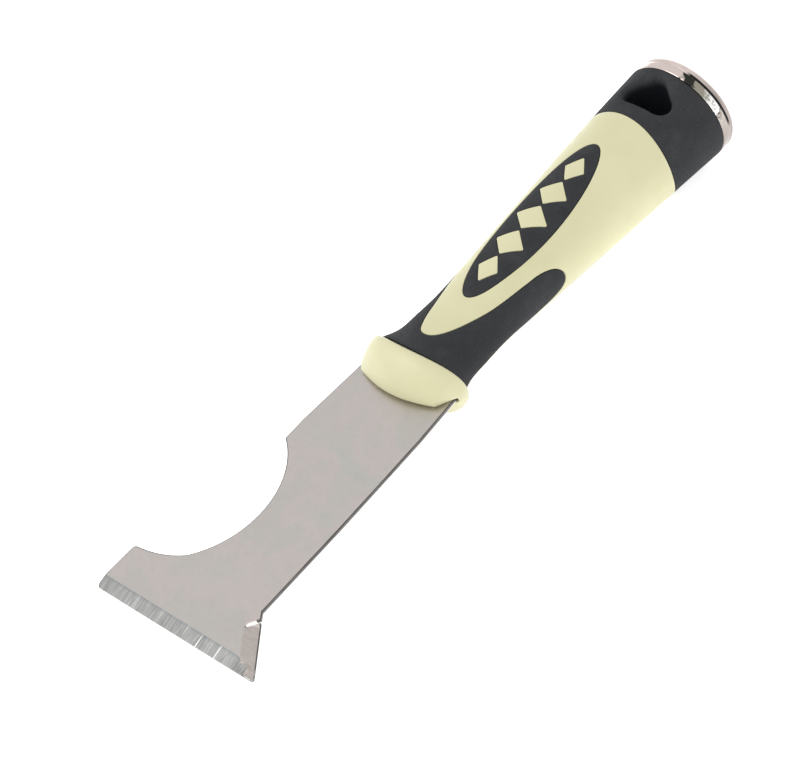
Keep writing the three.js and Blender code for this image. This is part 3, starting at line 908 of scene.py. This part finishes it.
def collar_rings():
    """Columns of the collar from inside the lip to the seam with the front grip."""
    seam = moved(collar_seam(), -SEAM_GAP)
    steps = 24
    under_turns = (0, 30, 60)
    roll_turns = (30, 60, 90)
    first_slope = 1 + len(under_turns)
    rings = [[] for _ in range(first_slope + steps + 1 + len(roll_turns) + 1)]
    for angle, station in seam:
        side = 1 if math.cos(angle) >= 0 else -1
        start_station, start_y, start_z = lip_contact(angle)
        outward = np.array([0.0, math.sin(angle), math.cos(angle)])
        sideways = math.sin(angle) ** 2
        level = 1 - sideways ** 3
        lip = (LIP_HEIGHT if side > 0 else LIP_HEIGHT * BACK_LIP_SHARE) * level
        start = np.array([start_station, start_y, side * (start_z + lip)])
        end = np.array([station - COLLAR_ROLL, COLLAR_REAR_HALF[0] * math.sin(angle),
                        COLLAR_REAR_HALF[1] * math.cos(angle)])
        lift = np.array([-0.15, 0.0, side * COLLAR_CROWN * (1 - sideways ** 2)])
        bulge = sideways if math.sin(angle) > 0 else FAR_SIDE_BULGE * sideways
        first = start + lift + outward * (LIP_BULGE * bulge)
        slope = np.array([0.55 - 0.2 * sideways, 0.0, 0.0])
        second = end - slope * (end[0] - start[0]) + outward * (REAR_BULGE * bulge)
        rings[0].append(place(start[0] + 2.5, start[1] * 0.93, side * start_z))
        for row, turn in enumerate(under_turns):
            back = LIP_UNDERCUT * level * (1 - math.sin(math.radians(turn)))
            drop = lip * math.cos(math.radians(turn))
            rings[1 + row].append(place(start[0] + back, start[1] * (1 - 0.012 * back),
                                        start[2] - side * drop))
        for step in range(steps + 1):
            t = step / steps
            p = ((1 - t) ** 3 * start + 3 * t * (1 - t) ** 2 * first
                 + 3 * t * t * (1 - t) * second + t ** 3 * end)
            rings[first_slope + step].append(place(*p))
        for row, turn in enumerate(roll_turns):
            along = COLLAR_ROLL * math.sin(math.radians(turn))
            sink = COLLAR_ROLL * (1 - math.cos(math.radians(turn)))
            rings[first_slope + steps + 1 + row].append(place(*(end + [along, 0, 0] - outward * sink)))
        rings[-1].append(place(station + 0.1, end[1] * 0.8, end[2] * 0.75))
    return rings


def sunken_face(shell, loop, side):
    """From a block's border to the inlay's oval, down its wall and across its floor."""
    centre = np.array([INLAY_CENTRE, INLAY_Y])
    reach = np.array([INLAY_HALF_LENGTH, INLAY_HALF_WIDTH])
    angles = [math.atan2((y - centre[1]) / reach[1], (station - centre[0]) / reach[0])
              for _, station, y in loop]

    def oval(margin):
        return [(centre[0] + (reach[0] + margin) * math.cos(a), centre[1] + (reach[1] + margin) * math.sin(a))
                for a in angles]

    shell.last = [vert for vert, _, _ in loop]
    rim = oval(SEAM_GAP + SEAM_ROLL)
    rows = 12
    for row in range(1, rows):
        share = row / rows
        shell.ring([face_point(s + (x - s) * share, y0 + (y - y0) * share, 0, side)
                    for (_, s, y0), (x, y) in zip(loop, rim)])
    for distance, drop in rolled_edge(SEAM_ROLL, SEAM_DEPTH):
        shell.ring([face_point(x, y, drop, side) for x, y in oval(SEAM_GAP + distance)])
    floor_rows = 8
    floor_edge = oval(SEAM_GAP)
    for row in range(1, floor_rows):
        share = 1 - row / floor_rows
        shell.ring([face_point(*(centre + (np.array(p) - centre) * share), SEAM_DEPTH, side)
                    for p in floor_edge])
    shell.fan(face_point(*centre, SEAM_DEPTH, side))


def raised_lozenge(shell, number, side):
    """A cream pad that fills one of the inlay's windows, flush with the face."""
    centre = np.array(window_centre(number))
    shell.last = None
    for distance, drop in reversed(rolled_edge(LOZENGE_ROLL, SEAM_DEPTH)):
        shell.ring([face_point(x, y, drop, side)
                    for x, y in spaced(lozenge_outline(number, -distance), 0.5)])
    edge = spaced(lozenge_outline(number, -LOZENGE_ROLL), 0.5)
    rows = 6
    for row in range(1, rows):
        share = 1 - row / rows
        shell.ring([face_point(*(centre + (np.array(p) - centre) * share), 0, side) for p in edge])
    shell.fan(face_point(*centre, 0, side))


def make_core():
    shell = Shell()
    for points in collar_rings():
        shell.ring(points)
    tongue, window = tongue_seam(), window_seam()
    under_front, under_rear = moved(collar_seam(), 1.0), moved(tongue, -1.0)
    rows = 20
    for row in range(rows + 1):
        shell.skin_ring(under_front + (under_rear - under_front) * row / rows, SEAM_DEPTH + 0.2)
    grid, charts = shell.band(tongue, window, 48)
    shell.skin_ring(moved(window, 1.5), SEAM_DEPTH)
    shell.fan(place(WINDOW_SIDE + 4, 0, 0))
    for side in (1, -1):
        loop = shell.open_block(grid, charts, INLAY_ROWS, INLAY_COLUMNS, side)
        sunken_face(shell, loop, side)
        for number in range(len(LOZENGE_HALF_WIDTHS)):
            raised_lozenge(shell, number, side)
    return shell.finish("handle_core_cream", [cream], "handle_core")


# ---- the soft pieces ----
def make_front_grip():
    shell = Shell()
    shell.band(collar_seam(), tongue_seam(), 36)
    return shell.finish("front_grip_soft", [charcoal], "front_grip")


def hang_hole(shell, loop, side):
    """From a block's border over the dished rim and down the wall of the hang hole."""
    centre = ((HOLE_BASE + HOLE_TIP) / 2 - 0.6, HOLE_Y)
    angles = np.array([math.atan2(y - centre[1], station - centre[0]) for _, station, y in loop])
    toward_tip = np.clip(np.cos(angles), 0, 1) ** 2
    fillet = HOLE_FILLET * (1 - 0.42 * toward_tip)

    def outline(shares):
        rim = np.array(ray_points(hole_outline(0), centre, angles))
        out = rim - centre
        out /= np.linalg.norm(out, axis=1, keepdims=True)
        return rim + out * (fillet * shares)[:, None]

    shell.last = [vert for vert, _, _ in loop]
    rim = outline(np.ones(len(loop)))
    rows = 8
    for row in range(1, rows):
        share = row / rows
        shell.ring([face_point(s + (x - s) * share, y0 + (y - y0) * share, 0, side)
                    for (_, s, y0), (x, y) in zip(loop, rim)])
    steps = 8
    for step in range(steps + 1):
        turn = math.pi / 2 * step / steps
        points = outline(np.full(len(loop), 1 - math.sin(turn)))
        drops = HOLE_FILLET * (1 - math.cos(turn))
        shell.ring([face_point(x, y, drops, side) for x, y in points])
    wall = outline(np.zeros(len(loop)))
    rim_heights = [face_point(x, y, HOLE_FILLET, side).z for x, y in wall]
    bottom = axis_z - side * HOLE_LAP * MM
    levels = 6
    for level in range(1, levels + 1):
        share = level / levels
        shell.ring([Vector((*place(x, y, 0).xy, z + (bottom - z) * share))
                    for (x, y), z in zip(wall, rim_heights)])


def make_rear_grip():
    shell = Shell()
    grid, charts = shell.band(window_seam(), butt_seam(), 36)
    for side in (1, -1):
        loop = shell.open_block(grid, charts, HOLE_ROWS, HOLE_COLUMNS, side)
        hang_hole(shell, loop, side)
    return shell.finish("rear_grip_soft", [hole_shaded_charcoal], "rear_grip")


def make_inlay(side, name, node):
    count = 160
    turns = [2 * math.pi * k / count for k in range(count)]
    numbers = range(len(LOZENGE_HALF_WIDTHS))

    def oval(distance):
        return [(INLAY_CENTRE + (INLAY_HALF_LENGTH - SEAM_GAP - distance) * math.cos(a),
                 INLAY_Y + (INLAY_HALF_WIDTH - SEAM_GAP - distance) * math.sin(a)) for a in turns]

    def window(number, distance):
        return lozenge_outline(number, 2 * SEAM_GAP + distance, 5)

    roll = INLAY_ROLL
    top = [oval(roll)] + [spaced(window(number, roll), 0.5) for number in numbers]
    guards = [window(number, roll + 0.35) for number in numbers]
    limit = oval(roll + 0.35)
    pitch = 0.75
    extra = []
    for row in range(int(2 * INLAY_HALF_WIDTH / pitch) + 1):
        for column in range(int(2 * INLAY_HALF_LENGTH / pitch) + 1):
            point = (INLAY_CENTRE - INLAY_HALF_LENGTH + (column + 0.5 * (row % 2)) * pitch,
                     INLAY_Y - INLAY_HALF_WIDTH + row * pitch)
            if inside(point, limit) and not any(inside(point, guard) for guard in guards):
                extra.append(point)
    verts, faces, places = filled(top, [], extra)
    bm = bmesh.new()
    flat = [bm.verts.new(face_point(v.x, v.y, 0, side)) for v in verts]
    for face in faces:
        bm.faces.new([flat[k] for k in face])
    first = 0
    for which, outline in enumerate(top):
        last = [flat[places[first + k]] for k in range(len(outline))]
        first += len(outline)
        for distance, drop in rolled_edge(roll, SEAM_DEPTH)[1:]:
            ring_points = oval(distance) if which == 0 else spaced(window(which - 1, roll), 0.5)
            if which > 0:
                ring_points = pulled_in(ring_points, window_centre(which - 1), roll - distance)
            ring = [bm.verts.new(face_point(x, y, drop, side)) for x, y in ring_points]
            size = len(ring)
            for k in range(size):
                bm.faces.new((last[k], last[(k + 1) % size], ring[(k + 1) % size], ring[k]))
            last = ring
    bmesh.ops.recalc_face_normals(bm, faces=bm.faces)
    return add_piece(bm, name, [charcoal], node)


def pulled_in(points, centre, distance):
    pulled = []
    for x, y in points:
        out = Vector((x - centre[0], y - centre[1]))
        out.normalize()
        pulled.append((x - out.x * distance, y - out.y * distance))
    return pulled


# ---- the cap ----
def make_cap():
    """A lathed cup, widened into an oval."""
    start = BUTT + CAP_SEAM
    radius = BUTT_HALF_HEIGHT
    profile = [(start, radius - CAP_WALL), (start, radius - CAP_EDGE)]
    profile += [(start + CAP_EDGE * (1 - math.cos(t)), radius - CAP_EDGE * (1 - math.sin(t)))
                for t in np.linspace(0, math.pi / 2, 6)[1:]]
    band_end = BUTT + CAP_BAND
    profile += [(start + (band_end - start) * share, radius) for share in (0.35, 0.7, 1.0)]
    shoulder_start = band_end + 4 * GROOVE_DEPTH
    profile += [(band_end + 2 * GROOVE_DEPTH, radius - GROOVE_DEPTH), (shoulder_start, radius - 0.04)]
    profile += [(shoulder_start + CAP_SHOULDER * math.sin(t), radius - CAP_SHOULDER * (1 - math.cos(t)))
                for t in np.linspace(0, CAP_SHOULDER_TURN, 14)[1:]]
    dome_start, dome_radius = profile[-1]
    control = dome_radius - (CAP_END - dome_start) * math.tan(CAP_SHOULDER_TURN)
    profile += curve((dome_start, dome_radius), (CAP_END, control), (CAP_END, 0), 12)[1:-1]
    shell = Shell()
    widening = BUTT_HALF_WIDTH / radius
    count = 192
    for station, reach in profile:
        turns = [2 * math.pi * k / count for k in range(count)]
        shell.ring([place(station, BUTT_OFFSET + reach * widening * math.sin(turn), reach * math.cos(turn))
                    for turn in turns])
    shell.fan(place(CAP_END, BUTT_OFFSET, 0))
    shoulder_x = front_x - shoulder_start * MM
    groove_x = front_x - band_end * MM
    for face in shell.bm.faces:
        x = face.calc_center_median().x
        face.material_index = 0 if x > groove_x else 1 if x < shoulder_x else 2
    return shell.finish("hammer_cap_plated", [mirror_band(), satin_shoulder(), cap_groove()], "hammer_cap",
                        40)


tool_pieces = [
    make_blade(),
    make_core(),
    make_front_grip(),
    make_rear_grip(),
    make_inlay(1, "front_inlay_soft", "front_inlay"),
    make_inlay(-1, "back_inlay_soft", "back_inlay"),
    make_cap(),
]


# ---- floor, light and camera ----
def make_floor(pieces):
    """A wide pale floor, tilted about the lowest point so that the tool's front half clears it."""
    corners = [piece.matrix_world @ vertex.co for piece in pieces for vertex in piece.data.vertices]
    contact_rear = min(corners, key=lambda corner: corner.z)
    tilt = min(math.atan2(corner.z - contact_rear.z, corner.x - contact_rear.x)
               for corner in corners if corner.x > contact_rear.x + 0.02)
    size = 6.0
    bm = bmesh.new()
    bmesh.ops.create_grid(bm, x_segments=12, y_segments=12, size=size)
    mesh = bpy.data.meshes.new("floor")
    bm.to_mesh(mesh)
    bm.free()
    floor = bpy.data.objects.new("floor", mesh)
    floor.location = contact_rear - Vector((0, 0, 0.0001))
    floor.rotation_euler = (0, -tilt, 0)
    bpy.context.scene.collection.objects.link(floor)
    m = Nodes("pale_floor")
    m.colour(m.ramp(m.noise(3, 2), [(0.3, (0.93, 0.93, 0.93)), (0.7, (0.95, 0.95, 0.95))]))
    m.set(Roughness=0.9, Specular_IOR_Level=0.1, Emission_Color=(1, 1, 1, 1), Emission_Strength=0.7)
    mesh.materials.append(m.material)


def toward(azimuth, elevation):
    """Unit vector at an azimuth from +X and an elevation, in degrees."""
    turn = math.radians(azimuth)
    rise = math.radians(elevation)
    return Vector((math.cos(turn) * math.cos(rise), math.sin(turn) * math.cos(rise), math.sin(rise)))


def area_light(name, azimuth, elevation, distance, size, power, aim):
    light = bpy.data.lights.new(name, "AREA")
    light.shape = "DISK"
    light.size = size
    light.energy = power
    lamp = bpy.data.objects.new(name, light)
    back = toward(azimuth, elevation)
    lamp.location = aim + back * distance
    lamp.rotation_mode = "QUATERNION"
    lamp.rotation_quaternion = (-back).to_track_quat("-Z", "Y")
    bpy.context.scene.collection.objects.link(lamp)


def make_world():
    world = bpy.data.worlds.new("studio")
    world.use_nodes = True
    world.node_tree.nodes["Background"].inputs["Color"].default_value = (1, 1, 1, 1)
    world.node_tree.nodes["Background"].inputs["Strength"].default_value = 0.93
    bpy.context.scene.world = world


def make_camera(aim):
    azimuth, elevation, roll = 59.1, 44.4, -22.56
    distance = 0.803
    camera = bpy.data.objects.new("camera", bpy.data.cameras.new("camera"))
    camera.data.sensor_width = 36
    camera.data.lens = 135.98
    camera.location = aim + toward(azimuth, elevation) * distance
    facing = Euler((math.radians(90 - elevation), 0, math.radians(azimuth + 90))).to_matrix()
    spin = Euler((0, 0, math.radians(roll))).to_matrix()
    camera.rotation_euler = (facing @ spin).to_euler()
    bpy.context.scene.collection.objects.link(camera)
    bpy.context.scene.camera = camera


aim_point = Vector((front_x - 0.0945, axis_y - 0.0047, axis_z - 0.0032))
make_floor(tool_pieces)
make_world()
area_light("key", -30, 56, 1.6, 1.2, 9.5, aim_point)
make_camera(aim_point)
bpy.context.scene.view_settings.view_transform = "Standard"
